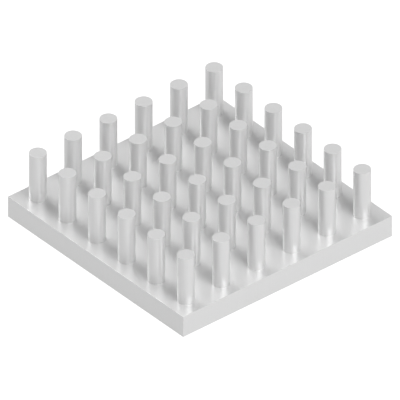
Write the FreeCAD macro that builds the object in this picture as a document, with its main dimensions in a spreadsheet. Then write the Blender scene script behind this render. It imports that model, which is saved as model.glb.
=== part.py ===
"""Pin fin heat sink: a square base with a field of round pins, forged in one piece.

Units are millimetres. The origin is the centre of the base's flat underside, which is the face
that takes the heat. +Z points from it up the pins, and X and Y run along the sides of the base.
"""

import FreeCAD, Part
import Sketcher
import os

NODE = "heat_sink"
PARTS_FOLDER = "parts"

# Driving dimensions: name, value, what it measures.
SIZES = [
    ("base_side", 50.0, "side of the square base"),
    ("base_thickness", 4.5, "thickness of the base"),
    ("edge_radius", 0.15, "rounding of every edge of the base"),
    ("edge_land", 2.25, "bare land from the outer pins' walls to the base's sides"),
    ("pins_per_row", 6, "pins in each row, and rows of them"),
    ("pin_diameter", 3.3, "diameter of a pin's straight wall"),
    ("pin_height", 10.2, "height of a pin above the base"),
    ("root_flare", 0.2, "how far a pin's root flares out, and how high the flare rises"),
]

# From the middle of the base to the axis of an outer pin.
OUTER_AXIS = "(Sizes.base_side / 2 - Sizes.edge_land - Sizes.pin_diameter / 2)"

# How a sketch names its own origin, and the ends of a line.
ORIGIN = (-1, 1)
START, END = 1, 2

SIZE_TOLERANCE = 1e-4


def make_sheet(doc):
    """The spreadsheet of driving dimensions, one row each, named by its alias."""
    sheet = doc.addObject("Spreadsheet::Sheet", "Sizes")
    for row, (alias, value, meaning) in enumerate(SIZES, start=1):
        sheet.set(f"A{row}", alias)
        sheet.set(f"B{row}", str(value))
        sheet.set(f"C{row}", meaning)
        sheet.setAlias(f"B{row}", alias)
    doc.recompute()
    return sheet


def origin_feature(body, role):
    """An axis or plane of the body's own origin, such as XY_Plane."""
    for feature in body.Origin.OriginFeatures:
        if feature.Role == role:
            return feature
    raise ValueError(f"{body.Label} has no {role}")


def add_sketch(body, name, plane):
    """An empty sketch lying on one of the body's origin planes."""
    sketch = body.newObject("Sketcher::SketchObject", name)
    sketch.AttachmentSupport = (origin_feature(body, plane), "")
    sketch.MapMode = "FlatFace"
    return sketch


def drive(sketch, name, expression, *constraint):
    """Adds a named dimension to a sketch and ties it to the spreadsheet."""
    index = sketch.addConstraint(Sketcher.Constraint(*constraint))
    sketch.renameConstraint(index, name)
    sketch.setExpression(f"Constraints.{name}", expression)


def closed_outline(sketch, corners):
    """Straight lines through the corners and back to the first, joined end to end."""
    lines = [Part.LineSegment(a, b) for a, b in zip(corners, corners[1:] + corners[:1])]
    pieces = list(sketch.addGeometry(lines, False))
    for piece, following in zip(pieces, pieces[1:] + pieces[:1]):
        sketch.addConstraint(Sketcher.Constraint("Coincident", piece, END, following, START))
    return pieces


def base_outline(body):
    """The base's square outline, centred on the origin."""
    sketch = add_sketch(body, "BaseOutline", "XY_Plane")

    # Drawn at any size, then driven.
    half = 10.0
    corners = [FreeCAD.Vector(x * half, y * half) for x, y in ((-1, -1), (1, -1), (1, 1), (-1, 1))]
    front, right, back, left = closed_outline(sketch, corners)
    for side in (front, back):
        sketch.addConstraint(Sketcher.Constraint("Horizontal", side))
    for side in (right, left):
        sketch.addConstraint(Sketcher.Constraint("Vertical", side))
    sketch.addConstraint(Sketcher.Constraint("Symmetric", front, START, back, START, *ORIGIN))
    drive(sketch, "width", "Sizes.base_side", "DistanceX", front, START, front, END, 2 * half)
    drive(sketch, "depth", "Sizes.base_side", "DistanceY", right, START, right, END, 2 * half)
    return sketch


def pin_profile(body):
    """Half of a pin's section, from its axis out: flared root, straight wall and flat tip.

    The sketch stands upright over the base's front left corner. Its vertical axis is the first
    pin's axis, and its origin is where that axis meets the base's top face.
    """
    sketch = add_sketch(body, "PinProfile", "XZ_Plane")
    sketch.setExpression("AttachmentOffset.Base.x", f"-{OUTER_AXIS}")
    sketch.setExpression("AttachmentOffset.Base.y", "Sizes.base_thickness")
    sketch.setExpression("AttachmentOffset.Base.z", OUTER_AXIS)

    # Drawn at any size, then driven.
    radius, height, slope = 4.0, 20.0, 1.0
    corners = [
        FreeCAD.Vector(0, 0),
        FreeCAD.Vector(radius + slope, 0),
        FreeCAD.Vector(radius, slope),
        FreeCAD.Vector(radius, height),
        FreeCAD.Vector(0, height),
    ]
    foot, flare, wall, top, axis = closed_outline(sketch, corners)
    sketch.addConstraint(Sketcher.Constraint("Coincident", foot, START, *ORIGIN))
    for level in (foot, top):
        sketch.addConstraint(Sketcher.Constraint("Horizontal", level))
    for upright in (wall, axis):
        sketch.addConstraint(Sketcher.Constraint("Vertical", upright))
    drive(sketch, "wall_radius", "Sizes.pin_diameter / 2", "DistanceX", foot, START, wall, START, radius)
    drive(sketch, "rise", "Sizes.pin_height", "DistanceY", foot, START, top, END, height)
    drive(sketch, "flare_out", "Sizes.root_flare", "DistanceX", flare, END, flare, START, slope)
    drive(sketch, "flare_up", "Sizes.root_flare", "DistanceY", flare, START, flare, END, slope)
    return sketch


def make_base(doc, body):
    """The square plate, with every edge rounded."""
    plate = body.newObject("PartDesign::Pad", "Plate")
    plate.Profile = base_outline(body)
    plate.setExpression("Length", "Sizes.base_thickness")
    doc.recompute()
    rounded = body.newObject("PartDesign::Fillet", "RoundedEdges")
    rounded.Base = (plate, ["Face1"])
    rounded.UseAllEdges = True
    rounded.setExpression("Radius", "Sizes.edge_radius")
    doc.recompute()


def make_pins(doc, body):
    """The first pin turned from its profile, then repeated along both sides of the base."""
    pin = body.newObject("PartDesign::Revolution", "FirstPin")
    pin.Profile = pin_profile(body)
    pin.ReferenceAxis = (pin.Profile[0], ["V_Axis"])
    doc.recompute()

    field = body.newObject("PartDesign::LinearPattern", "PinField")
    field.Originals = [pin]
    field.Direction = (origin_feature(body, "X_Axis"), [""])
    field.Direction2 = (origin_feature(body, "Y_Axis"), [""])
    for way in ("", "2"):
        setattr(field, f"Mode{way}", "Extent")
        field.setExpression(f"Length{way}", f"2 * {OUTER_AXIS}")
        field.setExpression(f"Occurrences{way}", "Sizes.pins_per_row")
    body.Tip = field
    doc.recompute()


def make_heat_sink(doc):
    """The whole heat sink, one body."""
    body = doc.addObject("PartDesign::Body", "HeatSink")
    body.Label = NODE
    make_base(doc, body)
    make_pins(doc, body)
    return body


def count_tips(shape, height):
    """How many flat faces lie level at this height."""
    return sum(
        isinstance(face.Surface, Part.Plane)
        and abs(face.BoundBox.ZMin - height) < SIZE_TOLERANCE
        and abs(face.BoundBox.ZMax - height) < SIZE_TOLERANCE
        for face in shape.Faces
    )


def check(doc, sheet, body):
    """Stops the build if a feature failed, the sink isn't one solid, or a pin is missing."""
    for item in doc.Objects:
        if {"Invalid", "Error"} & set(item.State):
            raise RuntimeError(f"{item.Label} failed: {item.State}")
    shape = body.Shape
    if shape.isNull() or not shape.isValid():
        raise RuntimeError(f"{body.Label} has no valid shape")
    if len(shape.Solids) != 1:
        raise RuntimeError(f"{body.Label} has {len(shape.Solids)} solids, and it is one piece")
    wanted = sheet.pins_per_row**2
    found = count_tips(shape, sheet.base_thickness + sheet.pin_height)
    if found != wanted:
        raise RuntimeError(f"{body.Label} has {found} pins, and the sheet says {wanted}")


def main():
    doc = FreeCAD.newDocument("PinFinHeatSink")
    sheet = make_sheet(doc)
    body = make_heat_sink(doc)
    check(doc, sheet, body)
    os.makedirs(PARTS_FOLDER, exist_ok=True)
    body.Shape.exportStep(os.path.join(PARTS_FOLDER, f"{body.Label}.step"))


main()
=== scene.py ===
"""Looks of the pin fin heat sink: bright bare aluminium on a pale floor in soft studio light."""

import math

import bpy
from mathutils import Matrix, Vector


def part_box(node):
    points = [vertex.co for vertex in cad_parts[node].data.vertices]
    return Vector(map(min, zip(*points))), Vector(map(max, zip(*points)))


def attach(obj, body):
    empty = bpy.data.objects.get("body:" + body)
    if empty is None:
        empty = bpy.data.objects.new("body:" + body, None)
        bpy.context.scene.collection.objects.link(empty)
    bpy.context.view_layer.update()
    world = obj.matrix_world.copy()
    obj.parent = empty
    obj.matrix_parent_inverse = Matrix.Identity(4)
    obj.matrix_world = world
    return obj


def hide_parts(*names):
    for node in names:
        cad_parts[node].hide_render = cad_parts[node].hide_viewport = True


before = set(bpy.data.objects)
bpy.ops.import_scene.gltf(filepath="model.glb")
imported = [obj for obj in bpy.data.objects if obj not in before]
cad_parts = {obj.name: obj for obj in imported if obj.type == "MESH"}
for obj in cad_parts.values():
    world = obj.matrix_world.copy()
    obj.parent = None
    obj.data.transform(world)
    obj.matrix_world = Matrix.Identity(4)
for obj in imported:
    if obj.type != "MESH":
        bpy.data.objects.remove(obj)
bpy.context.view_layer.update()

MM = 0.001
NODE = "heat_sink"
BODY = "root"

# The sink's sizes: the overall ones come from the frame, the others are its driving dimensions.
LOW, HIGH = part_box(NODE)
SIDE = HIGH.x - LOW.x
TIP_LEVEL = HIGH.z
BASE_THICKNESS = 4.5 * MM
EDGE_LAND = 2.25 * MM
PINS_PER_ROW = 6
PIN_DIAMETER = 3.3 * MM

# From the middle of the base to an outer pin's axis, and from one pin's axis to the next.
OUTER_AXIS = SIDE / 2 - EDGE_LAND - PIN_DIAMETER / 2
PITCH = 2 * OUTER_AXIS / (PINS_PER_ROW - 1)

# Small roundings at the pins' feet and tips and along the base's edges.
ROOT_RADIUS = 0.012 * MM
TIP_RADIUS = 0.008 * MM
BASE_EDGE_RADIUS = 0.03 * MM

# How finely the sink is meshed, and how far the round part of the mesh reaches about a pin's foot.
PIN_SIDES = 64
ROUNDING_STEPS = 4
FOOT_APRON = 0.4 * MM

# Points that round to the same place, counted in these steps to the metre, are one point.
STEPS_PER_METRE = 1e8

# What the mesh marks on each point, from 0 to 1, for the metal's finish to read.
MARKS = ("edge_wear", "pin_wall", "pin_tip", "base_side", "underside")

# The metal: how much of it is clean metal, its tone, and the roughness of each kind of face.
METAL_SHARE = 0.45
METAL_TONE = 0.70
BASE_ROUGHNESS = 0.3
WALL_ROUGHNESS = 0.29
CUT_ROUGHNESS = 0.295

# Size of the grain and of the slow drift of tone, width of the drawn lines, how much they are
# flattened upwards, which makes them long, and the spacing and centre of the cutter's arcs.
GRAIN_SIZE = 0.3 * MM
DRIFT_SIZE = 12 * MM
LINE_WIDTH = 0.4 * MM
LINE_FLATTENING = 0.02
ARC_SPACING = 0.4 * MM
CUTTER_CENTRE = (0.11, -0.035, 0.0)

# How much fine detail each of them has.
GRAIN_NOISE = {"Detail": 3.0, "Roughness": 0.55}
DRIFT_NOISE = {"Detail": 2.0, "Roughness": 0.55}
LINE_NOISE = {"Detail": 2.0, "Roughness": 0.6}
ARC_NOISE = {"Detail": 2.0, "Roughness": 0.5}

# How strongly the marks show on each kind of face, and how deep they are at full strength.
GRAIN_SHOW = 0.6
ARCS_SHOW = 0.6
WALL_LINES_SHOW = 1.8
SIDE_LINES_SHOW = 0.6
MARK_DEPTH = 0.008 * MM

# What the marks, the drift and the rubbed edges change in the metal's roughness and tone.
MARKS_ROUGHER = 0.008
RUBBED_SMOOTHER = 0.01
DRIFT_IN_TONE = 0.008
MARKS_LIGHTER = 0.01
RUBBED_LIGHTER = 0.015

# How much of an edge is rubbed: the grain times the first, plus the second.
RUB_BY_GRAIN = 1.2
RUB_START = -0.1

# The photo's view: degrees round and above, and where the base lies in the picture, in pixels.
VIEW_AZIMUTH, VIEW_ELEVATION = -40.0, 35.264
PICTURE_SIDE = 400
BASE_SIDE_IN_PICTURE = 272.75
BASE_BELOW_MIDDLE = 26.25
CAMERA_DISTANCE = 0.4
NEAREST_SEEN, FARTHEST_SEEN = 0.01, 3

# Soft lights: name, radiance, lowest and highest degrees in the arc that goes from the -Y horizon
# up and over to the +Y horizon, and the degrees across that arc, which are below 0 towards -X.
LIGHT_DISTANCE = 0.8
SOFT_LIGHTS = [
    ("front_box", 4.03, 30, 75, -16, 8),
    ("front_core", 2.6, 45, 75, -8, 8),
    ("front_right", 3.5, 30, 60, 8, 27),
    ("front_low", 2.45, 15, 30, -45, 0),
    ("overhead", 0.68, 75, 105, -45, 8),
    ("back_box", 4.4, 105, 150, -8, 8),
    ("back_left", 3.25, 120, 165, -27, -8),
    ("back_right", 3.25, 105, 165, 8, 16),
]

# The room's glow on the sink, and the backdrop that the camera sees.
ROOM_GLOW = 0.245
BACKDROP_TONE = 1.0

# The floor: its size, its glow on the sink and to the camera, and how much of the studio light it
# gives back.
FLOOR_RADIUS = 2.5
FLOOR_CORNERS = 96
FLOOR_GLOW = 0.695
FLOOR_TONE = 1.0
FLOOR_MATT = 0.12

WHITE = (1, 1, 1, 1)


class Skin:
    """Points with their own normals and marks, and the faces between them."""

    def __init__(self):
        self.points, self.normals, self.faces, self.known = [], [], [], {}
        self.marks = {name: [] for name in MARKS}

    def point(self, at, normal, **marks):
        """The point here, made once. marks say from 0 to 1 what part of the sink it is on."""
        key = tuple(round(c * STEPS_PER_METRE) for c in at)
        if key not in self.known:
            self.known[key] = len(self.points)
            self.points.append(at)
            self.normals.append(normal)
            for name, values in self.marks.items():
                values.append(marks.get(name, 0.0))
        return self.known[key]

    def face(self, *corners):
        """A face between these points, less any point that follows itself."""
        kept = [c for i, c in enumerate(corners) if c != corners[i - 1]]
        if len(kept) > 2:
            self.faces.append(kept)

    def band(self, low, high):
        """Quads between two closed rows of points, counter-clockwise as seen from outside."""
        for i in range(len(low)):
            j = (i + 1) % len(low)
            self.face(low[i], low[j], high[j], high[i])

    def finish(self, name):
        """The mesh object, shaded by the points' own normals."""
        mesh = bpy.data.meshes.new(name)
        mesh.from_pydata(self.points, [], self.faces)
        mesh.polygons.foreach_set("use_smooth", [True] * len(mesh.polygons))
        mesh.normals_split_custom_set_from_vertices(self.normals)
        for mark, values in self.marks.items():
            mesh.attributes.new(mark, "FLOAT", "POINT").data.foreach_set("value", values)
        mesh.update()
        piece = bpy.data.objects.new(name, mesh)
        bpy.context.collection.objects.link(piece)
        return piece


def quarter_turns():
    """Angles from 0 to a right angle, in the steps of a rounding."""
    return [math.pi / 2 * k / ROUNDING_STEPS for k in range(ROUNDING_STEPS + 1)]


def ring(skin, axis, radius, level, slope, **marks):
    """A circle of points about a pin's axis; slope is the normal's angle above the horizontal."""
    row = []
    for k in range(PIN_SIDES):
        a = 2 * math.pi * k / PIN_SIDES
        out_x, out_y = math.cos(a), math.sin(a)
        at = (axis[0] + radius * out_x, axis[1] + radius * out_y, level)
        normal = (out_x * math.cos(slope), out_y * math.cos(slope), math.sin(slope))
        row.append(skin.point(at, normal, **marks))
    return row


def plot_border(skin, x0, x1, y0, y1, level):
    """Points round a pin's rectangular plot of the base's top, one for each point of its ring."""
    corners = [(x1, y0), (x1, y1), (x0, y1), (x0, y0)]
    per_side = PIN_SIDES // 4
    row = []
    for (ax, ay), (bx, by) in zip(corners, corners[1:] + corners[:1]):
        for i in range(per_side):
            t = i / per_side
            row.append(skin.point((ax + (bx - ax) * t, ay + (by - ay) * t, level), (0, 0, 1)))
    # The border starts at a corner, an eighth of a turn before the ring's first point.
    eighth = PIN_SIDES // 8
    return row[eighth:] + row[:eighth]


def grow_pin(skin, axis, plot):
    """A pin on its plot: the flat round its foot, its root's rounding, wall, tip's rounding and tip."""
    radius = PIN_DIAMETER / 2
    upright = math.pi / 2
    rows = [plot_border(skin, *plot, BASE_THICKNESS)]
    rows.append(ring(skin, axis, radius + ROOT_RADIUS + FOOT_APRON, BASE_THICKNESS, upright))
    for a in quarter_turns():
        out = radius + ROOT_RADIUS * (1 - math.sin(a))
        level = BASE_THICKNESS + ROOT_RADIUS * (1 - math.cos(a))
        rows.append(ring(skin, axis, out, level, upright - a, pin_wall=math.sin(a)))
    for a in quarter_turns():
        out = radius - TIP_RADIUS * (1 - math.cos(a))
        level = TIP_LEVEL - TIP_RADIUS * (1 - math.sin(a))
        marks = {"edge_wear": math.sin(2 * a), "pin_wall": math.cos(a), "pin_tip": math.sin(a)}
        rows.append(ring(skin, axis, out, level, a, **marks))
    rows.append(ring(skin, axis, radius / 2, TIP_LEVEL, upright, pin_tip=1.0))
    for low, high in zip(rows, rows[1:]):
        skin.band(low, high)
    centre = skin.point((*axis, TIP_LEVEL), (0, 0, 1), pin_tip=1.0)
    for k in range(PIN_SIDES):
        skin.face(rows[-1][k], rows[-1][(k + 1) % PIN_SIDES], centre)


def base_loop(stops):
    """Once round the base's flat top: places, and the way that each faces out."""
    ways = [(0, -1), (1, 0), (0, 1), (-1, 0)]
    loop = []
    for way, (wx, wy) in enumerate(ways):
        edge = [(wx * stops[-1] - wy * s, wy * stops[-1] + wx * s) for s in stops]
        loop += [(x, y, wx, wy) for x, y in edge]
        nx, ny = ways[(way + 1) % 4]
        for a in quarter_turns()[1:-1]:
            turned = (wx * math.cos(a) + nx * math.sin(a), wy * math.cos(a) + ny * math.sin(a))
            loop.append((*edge[-1], *turned))
    return loop


def wrap_base(skin, stops):
    """The base's rounded edges, its four sides and its flat underside."""
    loop = base_loop(stops)
    rows = []
    for level, up in ((BASE_THICKNESS, 1), (LOW.z, -1)):
        roll = []
        for a in quarter_turns():
            out = BASE_EDGE_RADIUS * math.sin(a)
            drop = up * BASE_EDGE_RADIUS * (1 - math.cos(a))
            row = [
                skin.point(
                    (x + wx * out, y + wy * out, level - drop),
                    (wx * math.sin(a), wy * math.sin(a), up * math.cos(a)),
                    edge_wear=math.sin(2 * a),
                    base_side=math.sin(a),
                    underside=0.0 if up == 1 else math.cos(a),
                )
                for x, y, wx, wy in loop
            ]
            roll.append(row)
        rows += roll if up == 1 else roll[::-1]
    for low, high in zip(rows, rows[1:]):
        skin.band(high, low)
    for x0, x1 in zip(stops, stops[1:]):
        for y0, y1 in zip(stops, stops[1:]):
            corners = ((x0, y0), (x0, y1), (x1, y1), (x1, y0))
            skin.face(*[skin.point((x, y, LOW.z), (0, 0, -1), underside=1.0) for x, y in corners])


def forge_sink():
    """The whole sink as one closed mesh."""
    skin = Skin()
    axes = [-OUTER_AXIS + PITCH * i for i in range(PINS_PER_ROW)]
    reach = SIDE / 2 - BASE_EDGE_RADIUS
    plots = [-reach] + [(a + b) / 2 for a, b in zip(axes, axes[1:])] + [reach]
    for i, x in enumerate(axes):
        for j, y in enumerate(axes):
            grow_pin(skin, (x, y), (plots[i], plots[i + 1], plots[j], plots[j + 1]))
    per_side = PIN_SIDES // 4
    stops = [a + (b - a) * i / per_side for a, b in zip(plots, plots[1:]) for i in range(per_side)]
    wrap_base(skin, stops + [plots[-1]])
    return skin.finish("sink_body")


def add_node(tree, kind, settings=(), **inputs):
    """A node in a tree, with its settings and inputs.

    Each input is a number, or a socket to join. It is named by its socket's name, with _ for a
    space, or by its place, such as Input_0.
    """
    node = tree.nodes.new(kind)
    for name, value in dict(settings).items():
        setattr(node, name, value)
    for name, value in inputs.items():
        place = int(name.removeprefix("Input_")) if name.startswith("Input_") else name.replace("_", " ")
        socket = node.inputs[place]
        if isinstance(value, bpy.types.NodeSocket):
            tree.links.new(value, socket)
        else:
            socket.default_value = value
    return node


def sum_up(tree, operation, a, b, c=None):
    """The result of one sum on numbers or sockets."""
    inputs = {"Input_0": a, "Input_1": b}
    if c is not None:
        inputs["Input_2"] = c
    return add_node(tree, "ShaderNodeMath", {"operation": operation}, **inputs).outputs["Value"]


def move_place(tree, operation, a, b):
    """The result of one sum on places, given as vectors or sockets."""
    settings = {"operation": operation}
    return add_node(tree, "ShaderNodeVectorMath", settings, Input_0=a, Input_1=b).outputs["Vector"]


def new_group(name, inputs, outputs):
    """An empty shader group and its two ends.

    Each of its inputs has a kind and a value, and each of its outputs has a kind.
    """
    group = bpy.data.node_groups.new(name, "ShaderNodeTree")
    for title, (kind, value) in inputs.items():
        socket = group.interface.new_socket(title, in_out="INPUT", socket_type=kind)
        socket.default_value = value
    for title, kind in outputs.items():
        group.interface.new_socket(title, in_out="OUTPUT", socket_type=kind)
    return group, group.nodes.new("NodeGroupInput").outputs, group.nodes.new("NodeGroupOutput").inputs


def forged_grain():
    """Fine even grain of a struck surface, with a slow drift of tone over it."""
    group, given, out = new_group(
        "forged_grain",
        {"Grain Size": ("NodeSocketFloat", GRAIN_SIZE), "Drift Size": ("NodeSocketFloat", DRIFT_SIZE)},
        {"Grain": "NodeSocketFloat", "Drift": "NodeSocketFloat"},
    )
    place = add_node(group, "ShaderNodeTexCoord").outputs["Object"]
    for size, result, detail in (("Grain Size", "Grain", GRAIN_NOISE), ("Drift Size", "Drift", DRIFT_NOISE)):
        fineness = sum_up(group, "DIVIDE", 1.0, given[size])
        noise = add_node(group, "ShaderNodeTexNoise", Vector=place, Scale=fineness, **detail)
        group.links.new(noise.outputs["Fac"], out[result])
    return group


def drawn_lines():
    """Fine lines along the way that the metal slid in the die, which is up the pins and the sides."""
    group, given, out = new_group(
        "drawn_lines",
        {"Line Width": ("NodeSocketFloat", LINE_WIDTH), "Flattening": ("NodeSocketFloat", LINE_FLATTENING)},
        {"Lines": "NodeSocketFloat"},
    )
    place = add_node(group, "ShaderNodeTexCoord").outputs["Object"]
    along = add_node(group, "ShaderNodeCombineXYZ", X=1.0, Y=1.0, Z=given["Flattening"]).outputs["Vector"]
    flat = move_place(group, "MULTIPLY", place, along)
    fineness = sum_up(group, "DIVIDE", 1.0, given["Line Width"])
    noise = add_node(group, "ShaderNodeTexNoise", Vector=flat, Scale=fineness, **LINE_NOISE)
    group.links.new(noise.outputs["Fac"], out["Lines"])
    return group


def cutter_arcs():
    """Fine arcs left by a wide cutter that passed over a face, with uneven depth."""
    group, given, out = new_group(
        "cutter_arcs",
        {"Spacing": ("NodeSocketFloat", ARC_SPACING), "Cutter Centre": ("NodeSocketVector", (0.0, 0.0, 0.0))},
        {"Arcs": "NodeSocketFloat"},
    )
    place = add_node(group, "ShaderNodeTexCoord").outputs["Object"]
    away = move_place(group, "SUBTRACT", place, given["Cutter Centre"])
    level = move_place(group, "MULTIPLY", away, (1, 1, 0))
    reach = add_node(group, "ShaderNodeVectorMath", {"operation": "LENGTH"}, Input_0=level).outputs["Value"]
    turn = sum_up(group, "DIVIDE", reach, given["Spacing"])
    noise = add_node(group, "ShaderNodeTexNoise", {"noise_dimensions": "1D"}, W=turn, Scale=1.0, **ARC_NOISE)
    group.links.new(noise.outputs["Fac"], out["Arcs"])
    return group


def rubbed_edges():
    """Where an edge is rubbed bright, broken up by the grain."""
    group, given, out = new_group(
        "rubbed_edges",
        {"Edge": ("NodeSocketFloat", 0.0), "Grain": ("NodeSocketFloat", 0.5)},
        {"Rubbed": "NodeSocketFloat"},
    )
    uneven = sum_up(group, "MULTIPLY_ADD", given["Grain"], RUB_BY_GRAIN, RUB_START)
    settings = {"operation": "MULTIPLY", "use_clamp": True}
    rubbed = add_node(group, "ShaderNodeMath", settings, Input_0=given["Edge"], Input_1=uneven)
    group.links.new(rubbed.outputs["Value"], out["Rubbed"])
    return group


def place_group(tree, group, **inputs):
    """The outputs of a shader group placed in a material's tree."""
    return add_node(tree, "ShaderNodeGroup", {"node_tree": group}, **inputs).outputs


def read_mark(tree, name):
    """One of the mesh's marks, as a socket that goes from 0 to 1."""
    return add_node(tree, "ShaderNodeAttribute", {"attribute_name": name}).outputs["Fac"]


def spread(tree, value, middle, swing):
    """A socket that goes from 0 to 1, turned into a value that swings about the middle one."""
    return sum_up(tree, "MULTIPLY_ADD", value, 2 * swing, middle - swing)


def blend(tree, mask, low, high):
    """Low where the mask is 0, high where it is 1."""
    return add_node(tree, "ShaderNodeMix", Factor=mask, A=low, B=high).outputs["Result"]


def bright_aluminium():
    """Bare aluminium as it comes from the die, with its tips and underside trued by a cutter."""
    material = bpy.data.materials.new("bare_aluminium_forged")
    material.use_nodes = True
    tree = material.node_tree
    metal = tree.nodes["Principled BSDF"]
    mark = {name: read_mark(tree, name) for name in MARKS}
    grain = place_group(tree, forged_grain())
    lines = place_group(tree, drawn_lines())["Lines"]
    arcs = place_group(tree, cutter_arcs(), Cutter_Centre=CUTTER_CENTRE)["Arcs"]
    rubbed = place_group(tree, rubbed_edges(), Edge=mark["edge_wear"], Grain=grain["Grain"])["Rubbed"]

    upright = sum_up(tree, "MAXIMUM", mark["pin_wall"], mark["base_side"])
    cut = sum_up(tree, "MAXIMUM", mark["pin_tip"], mark["underside"])

    side_lines = spread(tree, lines, 0.0, SIDE_LINES_SHOW)
    wall_lines = spread(tree, lines, 0.0, WALL_LINES_SHOW)
    drawn = blend(tree, mark["pin_wall"], side_lines, wall_lines)
    marks = blend(tree, upright, spread(tree, grain["Grain"], 0.0, GRAIN_SHOW), drawn)
    marks = blend(tree, cut, marks, spread(tree, arcs, 0.0, ARCS_SHOW))

    roughness = blend(tree, mark["pin_wall"], BASE_ROUGHNESS, WALL_ROUGHNESS)
    roughness = blend(tree, cut, roughness, CUT_ROUGHNESS)
    roughness = sum_up(tree, "MULTIPLY_ADD", marks, MARKS_ROUGHER, roughness)
    roughness = sum_up(tree, "MULTIPLY_ADD", rubbed, -RUBBED_SMOOTHER, roughness)
    tree.links.new(roughness, metal.inputs["Roughness"])

    drift = spread(tree, grain["Drift"], METAL_TONE, DRIFT_IN_TONE)
    tone = sum_up(tree, "MULTIPLY_ADD", marks, MARKS_LIGHTER, drift)
    tone = sum_up(tree, "MULTIPLY_ADD", rubbed, RUBBED_LIGHTER, tone)
    colour = add_node(tree, "ShaderNodeCombineColor", Red=tone, Green=tone, Blue=tone)
    tree.links.new(colour.outputs["Color"], metal.inputs["Base Color"])

    metal.inputs["Metallic"].default_value = METAL_SHARE
    bump = add_node(tree, "ShaderNodeBump", Height=marks, Distance=MARK_DEPTH, Strength=1.0)
    tree.links.new(bump.outputs["Normal"], metal.inputs["Normal"])
    return material


def soft_light(name, radiance, low, high, left, right):
    """A flat lit panel that faces the sink and fills these degrees of its view."""
    arc, side = math.radians((low + high) / 2), math.radians((left + right) / 2)
    back = Vector((math.sin(side), -math.cos(side) * math.cos(arc), math.cos(side) * math.sin(arc)))
    across = (Vector((1, 0, 0)) - back * back.x).normalized()
    lamp = bpy.data.lights.new(name, "AREA")
    lamp.shape = "RECTANGLE"
    lamp.size = 2 * LIGHT_DISTANCE * math.tan(math.radians((right - left) / 2))
    lamp.size_y = 2 * LIGHT_DISTANCE * math.tan(math.radians((high - low) / 2))
    lamp.energy = radiance * math.pi * lamp.size * lamp.size_y
    panel = bpy.data.objects.new(name, lamp)
    panel.location = back * LIGHT_DISTANCE
    panel.rotation_euler = Matrix((across, back.cross(across), back)).transposed().to_euler()
    panel.visible_camera = False
    bpy.context.collection.objects.link(panel)


def make_room():
    """The room's faint glow on the sink, and the pale backdrop that the camera sees."""
    world = bpy.data.worlds.new("studio_room")
    bpy.context.scene.world = world
    world.use_nodes = True
    tree = world.node_tree
    glow = tree.nodes["Background"]
    glow.inputs["Color"].default_value = WHITE
    glow.inputs["Strength"].default_value = ROOM_GLOW
    backdrop = add_node(tree, "ShaderNodeBackground", Color=WHITE, Strength=BACKDROP_TONE)
    seen = add_node(tree, "ShaderNodeLightPath").outputs["Is Camera Ray"]
    shaders = {"Input_1": glow.outputs["Background"], "Input_2": backdrop.outputs["Background"]}
    choose = add_node(tree, "ShaderNodeMixShader", Input_0=seen, **shaders)
    tree.links.new(choose.outputs["Shader"], tree.nodes["World Output"].inputs["Surface"])


def floor_material():
    """A matt pale floor with a glow of its own, one for the sink to see and one for the camera."""
    material = bpy.data.materials.new("pale_floor")
    material.use_nodes = True
    tree = material.node_tree
    tree.nodes.clear()
    faces = []
    for glow in (FLOOR_GLOW, FLOOR_TONE):
        matt = add_node(tree, "ShaderNodeBsdfDiffuse", Color=(FLOOR_MATT,) * 3 + (1,))
        lit = add_node(tree, "ShaderNodeEmission", Strength=glow)
        parts = {"Input_0": matt.outputs["BSDF"], "Input_1": lit.outputs["Emission"]}
        both = add_node(tree, "ShaderNodeAddShader", **parts)
        faces.append(both.outputs["Shader"])
    seen = add_node(tree, "ShaderNodeLightPath").outputs["Is Camera Ray"]
    choose = add_node(tree, "ShaderNodeMixShader", Input_0=seen, Input_1=faces[0], Input_2=faces[1])
    add_node(tree, "ShaderNodeOutputMaterial", Surface=choose.outputs["Shader"])
    return material


def make_floor():
    """A large round pale floor at the sink's underside, evenly lit."""
    mesh = bpy.data.meshes.new("floor")
    turns = [2 * math.pi * k / FLOOR_CORNERS for k in range(FLOOR_CORNERS)]
    rim = [(FLOOR_RADIUS * math.cos(a), FLOOR_RADIUS * math.sin(a), LOW.z) for a in turns]
    mesh.from_pydata(rim, [], [list(range(FLOOR_CORNERS))])
    mesh.materials.append(floor_material())
    floor = bpy.data.objects.new("floor", mesh)
    bpy.context.collection.objects.link(floor)
    return floor


def make_camera():
    """The photo's view, without perspective."""
    turn, rise = math.radians(VIEW_AZIMUTH), math.radians(VIEW_ELEVATION)
    back = Vector((math.sin(turn) * math.cos(rise), -math.cos(turn) * math.cos(rise), math.sin(rise)))
    across = Vector((math.cos(turn), math.sin(turn), 0))
    up = back.cross(across).normalized()
    lens = bpy.data.cameras.new("photo_view")
    lens.type = "ORTHO"
    lens.ortho_scale = PICTURE_SIDE / BASE_SIDE_IN_PICTURE * SIDE
    lens.clip_start, lens.clip_end = NEAREST_SEEN, FARTHEST_SEEN
    pixel = lens.ortho_scale / PICTURE_SIDE
    camera = bpy.data.objects.new("photo_view", lens)
    camera.location = up * (BASE_BELOW_MIDDLE * pixel) + back * CAMERA_DISTANCE
    camera.rotation_euler = back.to_track_quat("Z", "Y").to_euler()
    bpy.context.collection.objects.link(camera)
    bpy.context.scene.camera = camera


make_camera()
sink = forge_sink()
sink.data.materials.append(bright_aluminium())
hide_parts(NODE)
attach(sink, BODY)

for light in SOFT_LIGHTS:
    soft_light(*light)
make_room()
make_floor()

bpy.context.scene.view_settings.view_transform = "Standard"
